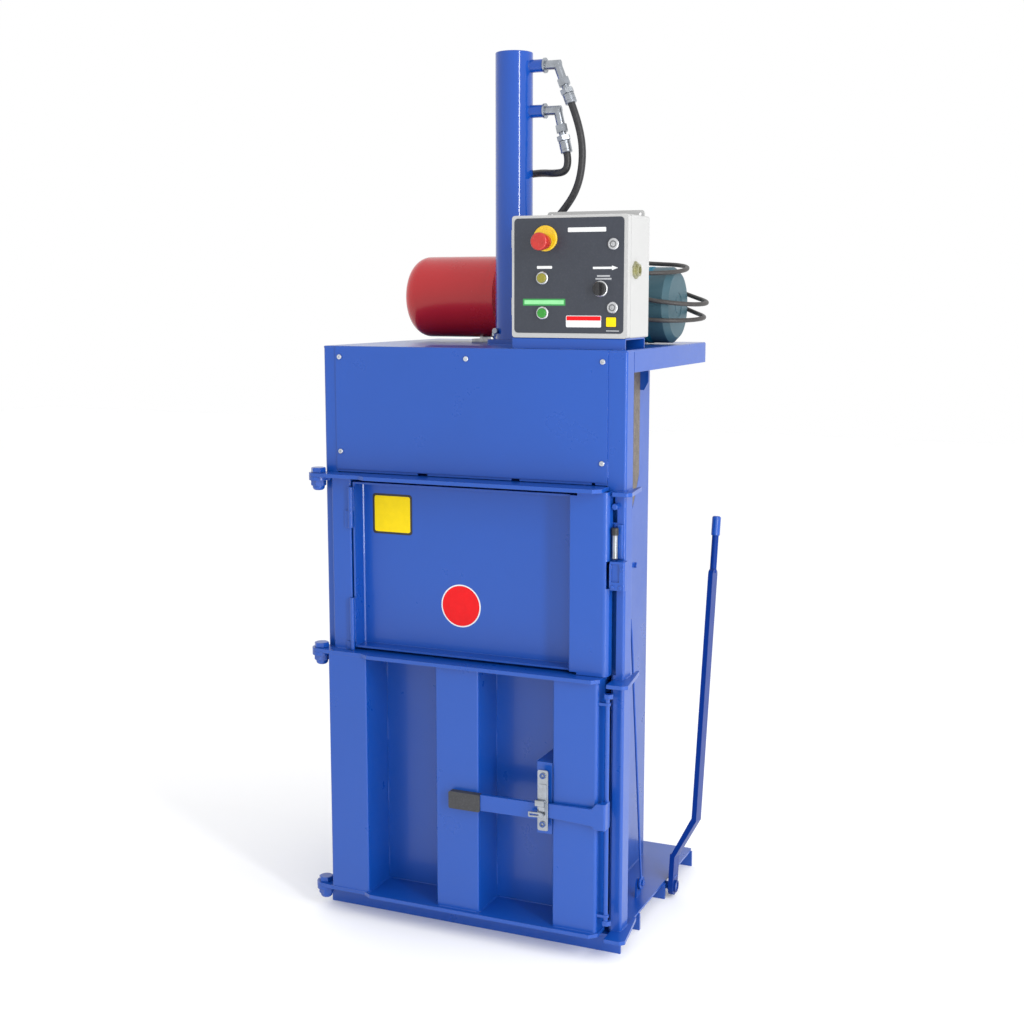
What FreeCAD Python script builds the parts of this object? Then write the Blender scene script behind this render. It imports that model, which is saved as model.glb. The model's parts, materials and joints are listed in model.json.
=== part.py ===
import FreeCAD, Part
import math
import os

# Recycling baler, upright, front load.  Millimetres, +Z up, +X to the
# machine's right-hand side as seen from the front, +Y to the back.
# Everything is drawn from the post fronts (y = 0) and the middle of the
# machine (x = 0) on the floor (z = 0), then moved by -OX, -OY so that the
# frame origin lies under the middle of the whole outline.
OX, OY = 29.75, 301.5

# ---------------------------------------------------------------- driving
HW = 427.0            # half width over the left post
RX = 438.0            # outer face of the right post
T = 5.0               # frame sheet thickness
PLATE_Z = 52.0        # top of the floor plate
TOP_Z = 1576.0        # top of the top plate
DEPTH = 670.0         # floor plate depth
TOP_DEPTH = 696.0     # top plate depth
POST_IN = 389.0       # inner edge of a post's front flange
WALL_X = 305.0        # chamber half width
WALL_Y0, WALL_Y1 = 66.5, 567.0
CYL_Y = 308.5         # press cylinder axis
CYL_R = 51.0
CYL_TOP = 2355.0
HX, HY = -431.0, -30.0        # main door hinge axis
FX, FY = -333.0, -30.5        # feed door hinge axis
LX, LY = 411.0, -45.0         # latch bar axis
BAND_Z = (66.0, 742.0, 1226.0)  # undersides of the door bands
BAND_T = 10.0
GAP = 0.5
PU_Y = 500.0          # power unit axis, y
TANK_Z, TANK_R = 1705.0, 116.5
MOTOR_Z, MOTOR_R = 1683.0, 104.0
EJ_Y, EJ_Z = 421.0, 32.0      # eject shaft axis
BX0, BX1, BY0, BY1, BZ0, BZ1 = 120.0, 430.0, 42.0, 182.0, 1604.0, 1908.0
LID_Y0, LID_Y1 = 18.0, 40.5
LIDX, LIDY = 114.0, 41.25     # lid hinge axis
STROKE = 640.0
HOSE_R = 10.0
CABLE_R = 6.0

V = FreeCAD.Vector
DIRS = {"x": V(1, 0, 0), "y": V(0, 1, 0), "z": V(0, 0, 1)}
nodes = {}


def box(x0, x1, y0, y1, z0, z1):
    return Part.makeBox(x1 - x0, y1 - y0, z1 - z0, V(x0, y0, z0))


def rod(p, q, r):
    p, q = V(*p), V(*q)
    return Part.makeCylinder(r, (q - p).Length, p, q - p)


def cone(p, q, r0, r1):
    p, q = V(*p), V(*q)
    return Part.makeCone(r0, r1, (q - p).Length, p, q - p)


def hexa(p, q, af, turn=0.0):
    # hexagonal prism from p to q, corners chamfered at the q end
    p, q = V(*p), V(*q)
    d = (q - p)
    h = d.Length
    r = af / math.sqrt(3.0)
    pts = [V(r * math.cos(math.radians(60 * i + turn)), r * math.sin(math.radians(60 * i + turn)), 0) for i in range(7)]
    pts[6] = pts[0]
    s = Part.Face(Part.makePolygon(pts)).extrude(V(0, 0, h))
    c = Part.makeCone(r + h, af / 2.0 * 0.97, h + (r - af / 2.0 * 0.97), V(0, 0, -(r - af / 2.0 * 0.97) + 0.0))
    c = Part.makeCone(af / 2.0 * 0.96 + h * 1.8, af / 2.0 * 0.96, h)
    s = s.common(c)
    s.Placement = FreeCAD.Placement(p, FreeCAD.Rotation(V(0, 0, 1), d))
    return s


def loop(pts):
    # closed outline; each point is (u, v) or (u, v, corner radius)
    n = len(pts)
    P = [V(p[0], p[1], 0) for p in pts]
    R = [p[2] if len(p) > 2 else 0.0 for p in pts]
    ends = []
    arcs = []
    for i in range(n):
        a, b, c = P[i - 1], P[i], P[(i + 1) % n]
        if R[i] <= 0:
            ends.append((b, b))
            arcs.append(None)
            continue
        u = (a - b)
        w = (c - b)
        u.normalize()
        w.normalize()
        ang = u.getAngle(w)
        t = R[i] / math.tan(ang / 2.0)
        p1 = b + u * t
        p2 = b + w * t
        bis = u + w
        bis.normalize()
        m = b + bis * (R[i] / math.sin(ang / 2.0) - R[i])
        ends.append((p1, p2))
        arcs.append(m)
    edges = []
    for i in range(n):
        if arcs[i] is not None:
            edges.append(Part.Arc(ends[i][0], arcs[i], ends[i][1]).toShape())
        s, e = ends[i][1], ends[(i + 1) % n][0]
        if (e - s).Length > 1e-6:
            edges.append(Part.LineSegment(s, e).toShape())
    return Part.Wire(edges)


def ext(pts, axis, a, b, holes=()):
    # extrude an outline; axis z: (x, y), axis y: (x, z), axis x: (y, z)
    f = Part.Face(loop(pts))
    s = f.extrude(V(0, 0, b - a))
    if axis == "z":
        s.translate(V(0, 0, a))
    elif axis == "y":
        s.Placement = FreeCAD.Placement(V(0, b, 0), FreeCAD.Rotation(V(1, 0, 0), 90))
    else:
        s.Placement = FreeCAD.Placement(V(a, 0, 0), FreeCAD.Rotation(V(1, 1, 1), 120))
    for h in holes:
        s = s.cut(h)
    return s


def rbox(x0, x1, y0, y1, z0, z1, r, axis="z"):
    if axis == "z":
        return ext([(x0, y0, r), (x1, y0, r), (x1, y1, r), (x0, y1, r)], "z", z0, z1)
    if axis == "y":
        return ext([(x0, z0, r), (x1, z0, r), (x1, z1, r), (x0, z1, r)], "y", y0, y1)
    return ext([(y0, z0, r), (y1, z0, r), (y1, z1, r), (y0, z1, r)], "x", x0, x1)


def fuse(*s):
    r = s[0]
    if len(s) > 1:
        r = r.fuse(list(s[1:]))
    return r.removeSplitter()


def fil(s, r, pick):
    e = [x for x in s.Edges if pick(x)]
    return s.makeFillet(r, e)


def cham(s, r, pick):
    e = [x for x in s.Edges if pick(x)]
    return s.makeChamfer(r, e)


def circ(r, z=None, x=None, y=None):
    def f(e):
        c = e.Curve
        if c.TypeId != "Part::GeomCircle" or abs(c.Radius - r) > 0.01:
            return False
        k = c.Center
        return (z is None or abs(k.z - z) < 0.05) and (x is None or abs(k.x - x) < 0.05) and (y is None or abs(k.y - y) < 0.05)
    return f


def tube(pts, r, name):
    # round section swept along straight runs joined by tangent arcs
    P = [V(*p) for p in pts]
    edges = []
    cur = P[0]
    length = 0.0
    radii = []
    for i in range(1, len(P) - 1):
        u = P[i - 1] - P[i]
        w = P[i + 1] - P[i]
        lu, lw = u.Length, w.Length
        u.normalize()
        w.normalize()
        turn = math.pi - u.getAngle(w)
        rad = 0.45 * min(lu, lw) / math.tan(turn / 2.0)
        t = rad * math.tan(turn / 2.0)
        p1 = P[i] + u * t
        p2 = P[i] + w * t
        bis = u + w
        bis.normalize()
        m = P[i] + bis * (rad / math.cos(turn / 2.0) - rad)
        edges.append(Part.LineSegment(cur, p1).toShape())
        edges.append(Part.Arc(p1, m, p2).toShape())
        length += (p1 - cur).Length + rad * turn
        radii.append(rad)
        cur = p2
    edges.append(Part.LineSegment(cur, P[-1]).toShape())
    length += (P[-1] - cur).Length
    wire = Part.Wire(edges)
    d = P[1] - P[0]
    prof = Part.Wire([Part.makeCircle(r, P[0], d)])
    s = wire.makePipeShell([prof], True, True)
    print("cord", name, "length %.0f mm, smallest radius %.0f mm, volume ratio %.4f" % (
        length, min(radii), s.Volume / (math.pi * r * r * length)))
    return s


def put(name, *solids):
    out = []
    for s in solids:
        out.extend(s.Solids)
    nodes[name] = out


# ------------------------------------------------------------- floor plate
floor = ext([(-430, 0, 6), (430, 0, 6), (430, DEPTH, 6), (-430, DEPTH, 6)], "z", PLATE_Z - 6, PLATE_Z)
for s in (-1, 1):
    floor = floor.cut(ext([(s * 130 - 14, 404, 6), (s * 130 + 14, 404, 6), (s * 130 + 14, 561, 6), (s * 130 - 14, 561, 6)], "z", 40, 60))
bear = []
for x in (-215, 215, 390):
    b = box(x - 12, x + 12, 401, 441, 14, 46)
    b = b.cut(rod((x - 20, EJ_Y, EJ_Z), (x + 20, EJ_Y, EJ_Z), 11.3))
    bear.append(b)
eye = ext([(252, 52), (292, 52), (287, 93, 14), (272, 108, 14), (257, 93, 14)], "x", 390, 396)
eye = fuse(eye, rod((396, 272, 90), (410, 272, 90), 5), rod((406.5, 272, 90), (410, 272, 90), 8))
floor = fuse(floor, eye, *bear)
put("floor_plate", floor)

feet = []
for y in (7, 165, 390, 656):
    ft = box(-434, 434, y, y + 8, 0, 46)
    feet.append(cham(ft, 1, lambda e: e.BoundBox.XLength > 800 and e.BoundBox.ZMax < 1))
put("foot_angles", *feet)

# ------------------------------------------------------------------- posts


def post_left():
    x = [-v for v in (POST_IN, HW)]
    pr = [(x[0], 0), (x[1], 0, 8), (x[1], 95, 8), (-310, 95), (-310, 90), (x[1] + T, 90, 3), (x[1] + T, T, 3), (x[0], T)]
    return ext(pr, "z", PLATE_Z, TOP_Z - T).fuse(box(-392, -363, 0, T, 1250, TOP_Z - T))


def post_right():
    pr = [(POST_IN, 0), (RX, 0, 7), (RX, 55, 4), (402, 55, 2), (402, 95, 4), (310, 95), (310, 90), (397, 90), (397, 50), (RX - T, 50), (RX - T, T, 3), (POST_IN, T)]
    p = ext(pr, "z", PLATE_Z, TOP_Z - T).fuse(box(363, 392, 0, T, 1250, TOP_Z - T))
    for z0, z1, x in ((PLATE_Z - 1, 752.6, 409.5), (752.5, 1048, 416), (1146, 1178, 416), (1179, 1214, 409.5)):
        p = p.cut(box(POST_IN - 1, x, -1, T + 1, z0, z1))
    return p.fuse(box(398, RX - 4, 19, 24, PLATE_Z, 1236)).removeSplitter()


left = post_left()
lugs = []
for z in BAND_Z:
    z1 = z - GAP
    z0 = z1 - BAND_T
    a = ext([(HX - 26, HY), (HX - 26, 22, 8), (-427, 64), (-427, 8), (-419, 0), (-397, 0), (-397, HY)], "z", z0, z1)
    a = a.fuse(rod((HX, HY, z0), (HX, HY, z1), 26)).cut(rod((HX, HY, z0 - 1), (HX, HY, z1 + 1), 12))
    lugs.append(a)
left_post = fuse(left, *lugs)
put("left_post", left_post)

right = post_right()
locks = []
for z in BAND_Z:
    z1 = z - GAP
    z0 = z1 - BAND_T
    if z < 1000:
        pr = [(411, 0), (411, -60, 3), (455, -60, 10), (466, -48, 6), (458, 13), (445, 104, 3), (438, 104), (438, 7), (431, 0)]
    else:
        pr = [(411, 0), (411, -30, 3), (450, -30, 8), (461, -18, 6), (456, 13), (445, 104, 3), (438, 104), (438, 7), (431, 0)]
    locks.append(ext(pr, "z", z0, z1))
# slotted rail on the post front that the feed bolt's back tongue runs in
rail = box(409.5, 432, -7, 0, 1056, 1142).cut(box(412.5, 419.5, -8, -2, 1050, 1150))
rail = fil(rail, 2, lambda e: abs(e.BoundBox.ZLength - 86) < 0.1 and e.BoundBox.YMax < -6.9 and (e.BoundBox.XMin < 409.6 or e.BoundBox.XMax > 431.9))
stud = rod((414, -18, 1188), (414, 0, 1188), 8)
stud = fil(stud, 2.5, circ(8, y=-18))
guide = [rail, stud]
right_post = fuse(right, *(locks))
put("right_post", right_post)
put("bolt_guides", *guide)

# ----------------------------------------------------------- chamber walls
put("left_side_wall", ext([(WALL_Y0, PLATE_Z), (WALL_Y1, PLATE_Z), (WALL_Y1, TOP_Z - T), (WALL_Y0, TOP_Z - T)], "x", -WALL_X - T, -WALL_X))
rw = ext([(WALL_Y0, PLATE_Z), (WALL_Y1, PLATE_Z), (WALL_Y1, TOP_Z - T), (482, TOP_Z - T), (482, 1205, 10), (447, 1146, 20), (415, 1096, 30), (100, 1096, 20), (100, TOP_Z - T), (WALL_Y0, TOP_Z - T)], "x", WALL_X, WALL_X + T)
gus = ext([(WALL_X + T, 1447), (322, 1447), (334, 1470), (334, 1519), (WALL_X + T, 1519)], "y", 482, 487)
wb = rod((WALL_X + T, 455.6, 952), (WALL_X + T + 7, 455.6, 952), 8)
wb = cham(wb, 1.5, circ(8, x=WALL_X + T + 7))
put("right_side_wall", fuse(rw, gus, wb))
put("wear_strip", ext([(430, 1123.5), (449, 1153), (482, 1210), (482, TOP_Z - T), (430, TOP_Z - T)], "x", WALL_X - 3, WALL_X + T))
put("back_wall", box(-WALL_X, WALL_X, WALL_Y1 - T, WALL_Y1, PLATE_Z, TOP_Z - T))

# --------------------------------------------------------------- top plate
top = ext([(-HW, 0, 5), (RX, 0, 5), (RX, TOP_DEPTH, 10), (-HW, TOP_DEPTH, 10)], "z", TOP_Z - T, TOP_Z)
top = top.fuse(box(-HW, -HW + T, 96, TOP_DEPTH - 10, 1519, TOP_Z - T)).fuse(box(RX - T, RX, 55.4, TOP_DEPTH - 10, 1519, TOP_Z - T))
rear = ext([(-HW, TOP_DEPTH - 10), (RX, TOP_DEPTH - 10), (RX, TOP_DEPTH, 10), (-HW, TOP_DEPTH, 10)], "z", 1519, TOP_Z - T)
rear = rear.cut(box(-HW + T, RX - T, TOP_DEPTH - 20, TOP_DEPTH - T, 1500, TOP_Z - T))
top = top.fuse(rear).removeSplitter()
top = top.cut(rod((0, CYL_Y, TOP_Z - 10), (0, CYL_Y, TOP_Z + 5), 32))
top = cham(top, 2.5, lambda e: abs(e.BoundBox.ZMin - TOP_Z) < 0.01 and abs(e.BoundBox.ZMax - TOP_Z) < 0.01 and (e.BoundBox.XMin > RX - 11 or e.BoundBox.YMin > TOP_DEPTH - 11))
put("top_plate", top)

# ------------------------------------------------------------- front cover
cov = ext([(-388.4, 1245, 3), (388.4, 1245, 3), (388.4, 1575.5, 3), (-388.4, 1575.5, 3)], "y", -3, 0)
SCR = [(-375, 1547), (0, 1548), (375, 1547), (-375, 1293), (375, 1293)]
for x, z in SCR:
    cov = cov.cut(rod((x, -4, z), (x, 2, z), 4))
lip = box(-388.4, 388.4, 0, 6, 1237.6, 1249.6)
for x, w in ((-131, 15), (137, 12), (351, 5)):
    lip = lip.cut(box(x - w, x + w, -1, 7, 1237, 1243))
put("front_cover", fuse(cov, lip))
scr = []
for x, z in SCR:
    h = rod((x, -7.5, z), (x, -3, z), 7)
    h = fil(h, 2, circ(7, y=-7.5))
    h = h.cut(hexa((x, -4.5, z), (x, -8, z), 5.2))
    scr.append(fuse(h, rod((x, -3, z), (x, 0, z), 3.8)))
put("cover_screws", *scr)

# ------------------------------------------------------------- hinge bolts
hb = []
for z in BAND_Z:
    zt, zb = z + BAND_T + 0.5, z - GAP - BAND_T
    dome = fil(rod((HX, HY, zb - 28), (HX, HY, zb - 14), 16.5), 9, circ(16.5, z=zb - 28))
    b = fuse(hexa((HX, HY, zt), (HX, HY, zt + 13), 36, 12), rod((HX, HY, zb - 14), (HX, HY, zt), 12),
             hexa((HX, HY, zb), (HX, HY, zb - 16), 36, 20), dome)
    hb.append(b)
put("hinge_bolts", *hb)

# ---------------------------------------------------------- press cylinder
cyl = rod((0, CYL_Y, 1590), (0, CYL_Y, CYL_TOP), CYL_R)
cyl = fil(cyl, 2.5, circ(CYL_R, z=CYL_TOP))
cyl = cyl.cut(rod((0, CYL_Y, 1640), (0, CYL_Y, 2338), 42)).cut(rod((0, CYL_Y, 1580), (0, CYL_Y, 1650), 25.4))
for z in (2317, 2199):
    c = rod((45, CYL_Y, z), (88, CYL_Y, z), 17)
    c = c.cut(rod((0, CYL_Y, z - 60), (0, CYL_Y, z + 60), 43))
    cyl = cyl.fuse(c)
cyl = cyl.removeSplitter()
put("cylinder_barrel", cyl)
base = rbox(-58, 58, CYL_Y - 58, CYL_Y + 58, TOP_Z, 1590, 10).cut(rod((0, CYL_Y, 1570), (0, CYL_Y, 1595), 32))
ears = []
for s in (-1, 1):
    x0, x1 = sorted((s * 54, s * 62))
    ears.append(ext([(CYL_Y + 2, TOP_Z), (CYL_Y + 54, TOP_Z), (CYL_Y + 54, 1612, 16), (CYL_Y + 28, 1622, 18), (CYL_Y + 2, 1612, 16)], "x", x0, x1))
pins = []
for s in (-1, 1):
    pins.append(hexa((s * 62, CYL_Y + 26, 1602), (s * 74, CYL_Y + 26, 1602), 24, 10))
bh = rod((-36, 256, 1613), (-36, 275, 1613), 8).cut(rod((0, CYL_Y, 1580), (0, CYL_Y, 1640), CYL_R))
pins.append(cham(bh, 1.5, circ(8, y=256)))
put("cylinder_base", fuse(base, *ears))
put("cylinder_bolts", *pins)

# ------------------------------------------------------ hoses and fittings
PA, PB = (166, CYL_Y, 2215), (153.5, CYL_Y, 2087)
ROUTE_A = [PA, (190, CYL_Y, 2155), (201, CYL_Y, 2075), (186, CYL_Y, 1992), (140, CYL_Y, 1929), (86, 322, 1886), (46, 372, 1856), (36, 436, 1846), (34, 476, 1832), (34, 476, 1776)]
ROUTE_B = [PB, (158.5, CYL_Y, 2066), (150, CYL_Y, 2037), (110, 320, 2035), (62, 356, 2041), (2, 390, 2040), (-44, 412, 1995), (-62, 440, 1910), (-62, 474, 1845), (-62, 476, 1776)]


def fitting(z, first, second):
    d = V(*first) - V(*second)
    d.normalize()
    t = (z - first[2]) / d.z
    e = V(*first) + d * t
    e = (e.x, e.y, e.z)
    dn = (-d.x, -d.y, -d.z)

    def at(s):
        return (e[0] + dn[0] * s, e[1] + dn[1] * s, e[2] + dn[2] * s)
    L = t
    f = [rod((88, CYL_Y, z), (93, CYL_Y, z), 20), rod((92, CYL_Y, z), (e[0] + 9, CYL_Y, z), 12.5), rod(at(-6), at(42), 11.5), hexa(at(40), at(60), 30, 8), rod(at(58), at(70), 10),
         hexa(at(69), at(83), 32, 22)]
    fer = rod(at(83), first, 16)
    fer = cham(fer, 1.5, lambda e_: e_.Curve.TypeId == "Part::GeomCircle")
    for a in (89, L - 9):
        fer = fer.cut(rod(at(a), at(a + 2.5), 18).cut(rod(at(a - 1), at(a + 4), 14.8)))
    return fuse(*f), fer


fa, ra = fitting(2317, ROUTE_A[0], ROUTE_A[1])
fb, rb = fitting(2199, ROUTE_B[0], ROUTE_B[1])
put("port_elbows", fa, fb)
put("hose_ferrules", ra, rb)
put("hose_upper", tube(ROUTE_A, HOSE_R, "hose_upper"))
put("hose_lower", tube(ROUTE_B, HOSE_R, "hose_lower"))

# -------------------------------------------------------------- power unit
TX0 = -394.0
tank = rod((TX0, PU_Y, TANK_Z), (-108, PU_Y, TANK_Z), TANK_R)
tank = fil(tank, 48, circ(TANK_R, x=TX0))
tank = tank.fuse(rod((-120, PU_Y, TANK_Z), (-100, PU_Y, TANK_Z), TANK_R + 3)).removeSplitter()
put("reservoir", tank)
pump = rbox(-100, 108, 436, 564, 1630, 1760, 8, "z")
pump = fuse(pump, rod((34, 476, 1755), (34, 476, 1775), 13), rod((-62, 476, 1755), (-62, 476, 1775), 13),
            rod((108, PU_Y, MOTOR_Z), (130, PU_Y, MOTOR_Z), 82), rod((-20, 436, 1700), (-20, 396, 1700), 18), rod((-20, 396, 1700), (-20, 380, 1700), 13),
            rod((-10, 530, 1755), (-10, 530, 1777), 17), rod((-10, 530, 1777), (-10, 530, 1791), 24))
put("pump_block", pump)
motor = rod((130, PU_Y, MOTOR_Z), (352, PU_Y, MOTOR_Z), MOTOR_R)
for x in (150, 336):
    motor = motor.fuse(rod((x - 5, PU_Y, MOTOR_Z), (x + 5, PU_Y, MOTOR_Z), MOTOR_R + 1.5))
tb = rbox(136, 192, 352, 412, 1624, 1676, 4, "x")
motor = fuse(motor, tb)
put("motor_body", motor)
cap = rod((352, PU_Y, MOTOR_Z), (411, PU_Y, MOTOR_Z), MOTOR_R)
cap = cham(cap, 15, circ(MOTOR_R, x=411))
cap = cap.cut(rod((409.6, PU_Y, MOTOR_Z), (412, PU_Y, MOTOR_Z), 34)).fuse(rod((405, PU_Y, MOTOR_Z), (410.6, PU_Y, MOTOR_Z), 22)).removeSplitter()
put("motor_end_cap", cap)
sad = []
for x0, x1, zz, rr, hw in ((-179, -171, TANK_Z, TANK_R, 30), (-40, 50, None, None, 60), (236, 296, MOTOR_Z, MOTOR_R, 78)):
    if zz is None:
        sad.append(box(x0, x1, PU_Y - hw, PU_Y + hw, TOP_Z, 1630))
    else:
        b = ext([(PU_Y - hw, TOP_Z), (PU_Y + hw, TOP_Z), (PU_Y + hw, TOP_Z + 8), (PU_Y + hw - 6, zz - rr * 0.82), (PU_Y - hw + 6, zz - rr * 0.82), (PU_Y - hw, TOP_Z + 8)], "x", x0, x1)
        if x0 < 0:
            b = b.fuse(box(-205, -171, PU_Y - hw, PU_Y + hw, TOP_Z, TOP_Z + 8)).removeSplitter()
        sad.append(b.cut(rod((x0 - 5, PU_Y, zz), (x1 + 5, PU_Y, zz), rr)))
put("power_unit_feet", *sad)

CABLE = [(188, 226.3, 1800), (188, 290, 1801), (188, 370, 1803), (189, 440, 1806), (192, 500, 1807), (208, 564, 1805),
         (252, 611, 1802), (313, 628, 1798), (374, 611, 1795), (418, 564, 1788), (434, 500, 1779), (419, 436, 1772), (377, 389, 1769), (317, 372, 1768), (263, 389, 1778), (221, 436, 1796),
         (206, 500, 1807), (225, 564, 1798), (278, 611, 1770), (350, 628, 1730), (421, 611, 1706), (474, 564, 1693), (493, 500, 1687), (474, 436, 1685), (421, 389, 1690), (350, 372, 1700), (287, 388, 1730), (241, 436, 1786),
         (224, 500, 1807), (241, 564, 1790), (289, 611, 1735), (355, 628, 1690), (420, 611, 1664), (468, 564, 1652), (485, 500, 1647), (468, 436, 1643), (420, 389, 1642), (355, 372, 1645), (300, 375, 1648), (245, 378, 1650), (193.5, 378, 1650)]
put("motor_cable", tube(CABLE, CABLE_R, "motor_cable"))

# ------------------------------------------------- control box and its lid
ped = ext([(20, TOP_Z), (20, 1604, 4), (170, 1604, 4), (170, TOP_Z), (166, TOP_Z), (166, 1600), (24, 1600), (24, TOP_Z)], "x", 120, 425)
put("box_pedestal", ped)
shell = rbox(BX0, BX1, BY0, BY1, BZ0, BZ1, 5, "y").cut(rbox(BX0 + 3, BX1 - 3, BY0 - 1, BY1 - 3, BZ0 + 3, BZ1 - 3, 3, "y"))
flg = ext([(150, BZ1 - 22, 8), (150, 1925, 8), (416, 1925, 8), (416, BZ1 - 22, 8)], "y", BY1, BY1 + 5)
flg = flg.cut(rod((404, BY1 - 1, 1915), (404, BY1 + 8, 1915), 4.5)).cut(rod((162, BY1 - 1, 1915), (162, BY1 + 8, 1915), 4.5))
flg2 = ext([(150, BZ0 + 3), (150, BZ0 + 40, 8), (416, BZ0 + 40, 8), (416, BZ0 + 3)], "y", BY1, BY1 + 5)
hin = []
for z in (1660, 1830):
    hin.append(rod((LIDX, LIDY, z), (LIDX, LIDY, z + 22), 5))
    hin.append(box(LIDX, BX0, LIDY + 1.2, LIDY + 5, z, z + 22))
    hin.append(rod((LIDX, LIDY, z + 22), (LIDX, LIDY, z + 44), 2.2))
cg = cone((188, BY1, 1800), (188, 226, 1800), 11, 7.5)
for k in range(4):
    cg = cg.cut(rod((188, 192 + 8 * k, 1800), (188, 194.5 + 8 * k, 1800), 14).cut(rod((188, 190, 1800), (188, 230, 1800), 6.8)))
shell = fuse(shell, flg, flg2, cg, *hin)
put("control_box", shell)
gl = fuse(hexa((BX1, 72, 1772), (BX1 + 7, 72, 1772), 38, 7), rod((BX1 + 7, 72, 1772), (BX1 + 13, 72, 1772), 15))
gl = gl.cut(rod((BX1 + 9, 72, 1772), (BX1 + 14, 72, 1772), 9))
put("box_gland", gl)

lid = rbox(BX0, BX1, LID_Y0, LID_Y1, BZ0, BZ1, 8, "y").cut(rbox(BX0 + 3, BX1 - 3, LID_Y0 + 3, LID_Y1 + 1, BZ0 + 3, BZ1 - 3, 5, "y"))
lk = []
for z in (1682.5, 1852.5):
    lk.append(rod((LIDX, LIDY, z), (LIDX, LIDY, z + 21.5), 5).cut(rod((LIDX, LIDY, z - 1), (LIDX, LIDY, z + 23), 2.6)))
    lk.append(box(LIDX, BX0 + 1, LIDY - 5, LIDY - 2.75, z, z + 21.5).cut(rod((LIDX, LIDY, z - 1), (LIDX, LIDY, z + 23), 2.6)))
EST = (216, 1842)
RNG = (212, 1851)
YEL = (204, 1753)
GRN = (205, 1666)
SEL = (360, 1726)
LOK = ((393, 1835), (392, 1680))
CUTS = [(EST, 11.3), (YEL, 12.3), (GRN, 12.3), (SEL, 8.3)]
lid = fuse(lid, *lk)
for (x, z), r in CUTS:
    lid = lid.cut(rod((x, LID_Y0 - 1, z), (x, LID_Y0 + 4, z), r))
put("lid", lid)
ov = ext([(127, 1616, 10), (420, 1616, 10), (420, 1901, 10), (127, 1901, 10)], "y", LID_Y0 - 1, LID_Y0)
for (x, z), r in CUTS:
    ov = ov.cut(rod((x, 10, z), (x, 20, z), r))
put("lid_overlay", ov)
FY0 = LID_Y0 - 1
ring = rod((RNG[0], FY0 - 6, RNG[1]), (RNG[0], FY0, RNG[1]), 32)
ring = cham(ring, 2, circ(32, y=FY0 - 6)).cut(rod((EST[0], FY0 - 8, EST[1]), (EST[0], FY0 + 1, EST[1]), 15.01))
put("estop_ring", ring)
bz = []
coll = rod((EST[0], FY0 - 9, EST[1]), (EST[0], FY0, EST[1]), 15).cut(rod((EST[0], FY0 - 10, EST[1]), (EST[0], FY0 + 1, EST[1]), 11.3))
bz.append(coll)
for (x, z) in (YEL, GRN):
    b = rod((x, FY0 - 6, z), (x, FY0, z), 16.5)
    b = cham(b, 2, circ(16.5, y=FY0 - 6))
    bz.append(b.cut(rod((x, FY0 - 8, z), (x, FY0 + 1, z), 12.3)))
b = rod((SEL[0], FY0 - 7, SEL[1]), (SEL[0], FY0, SEL[1]), 20)
b = cham(b, 2.5, circ(20, y=FY0 - 7))
bz.append(b.cut(rod((SEL[0], FY0 - 9, SEL[1]), (SEL[0], FY0 + 1, SEL[1]), 8.3)))
put("button_bezels", *bz)
lo = []
for x, z in LOK:
    l = rod((x, FY0 - 6, z), (x, FY0, z), 14.5)
    l = cham(l, 2, circ(14.5, y=FY0 - 6))
    l = l.cut(rod((x, FY0 - 8, z), (x, FY0 - 4, z), 9)).fuse(rod((x, FY0 - 5, z), (x, FY0, z), 8.6))
    l = l.cut(rod((x, FY0 - 8, z), (x, FY0 - 3, z), 3.6)).fuse(box(x - 3.4, x + 3.4, FY0 - 5, FY0 - 3, z - 1, z + 1)).removeSplitter()
    lo.append(l)
put("lid_locks", *lo)
es = fuse(rod((EST[0], -2, EST[1]), (EST[0], 58, EST[1]), 11), cone((EST[0], -24, EST[1]), (EST[0], -2, EST[1]), 20, 19))
hd = rod((EST[0], -42, EST[1]), (EST[0], -22, EST[1]), 22)
hd = fil(hd, 5, circ(22, y=-42))
hd = fil(hd, 3, circ(22, y=-22))
es = fuse(es, hd)
put("estop_button", es)
for nm, (x, z) in (("button_yellow", YEL), ("button_green", GRN)):
    b = rod((x, FY0 - 11, z), (x, 50, z), 12)
    b = fil(b, 2.5, circ(12, y=FY0 - 11))
    put(nm, b)
kn = rod((SEL[0], FY0 - 15, SEL[1]), (SEL[0], FY0 - 7.5, SEL[1]), 17)
kn = cham(kn, 1.5, circ(17, y=FY0 - 15))
bar = rbox(SEL[0] - 5, SEL[0] + 5, FY0 - 24, FY0 - 14, SEL[1] - 16, SEL[1] + 16, 4, "y")
kn = fuse(kn, bar, rod((SEL[0], FY0 - 8, SEL[1]), (SEL[0], 48, SEL[1]), 8))
put("selector_knob", kn)

# --------------------------------------------------------------------- ram
prod = fuse(rod((0, CYL_Y, 1262), (0, CYL_Y, 2292), 25), rod((0, CYL_Y, 2292), (0, CYL_Y, 2332), 41.6))
put("piston_rod", prod)
PX, PY0, PY1 = 297.0, 68.0, 554.0
pl = ext([(-PX, PY0, 8), (PX, PY0, 8), (PX, PY1, 8), (-PX, PY1, 8)], "z", 1238, 1248)
for y0, y1 in ((110, 170), (280, 337), (450, 510)):
    pl = pl.fuse(box(-270, 270, y0, y0 + 6, 1248, 1300)).fuse(box(-270, 270, y1 - 6, y1, 1248, 1300)).fuse(box(-270, 270, y0, y1, 1248, 1254))
for x in (-200, 200):
    pl = pl.fuse(box(x - 5, x + 5, 100, 520, 1248, 1290))
pl = pl.fuse(rod((0, CYL_Y, 1248), (0, CYL_Y, 1262), 70)).removeSplitter()
pl = pl.cut(rod((0, CYL_Y, 1262), (0, CYL_Y, 1310), 60))
put("platen", pl)

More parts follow.
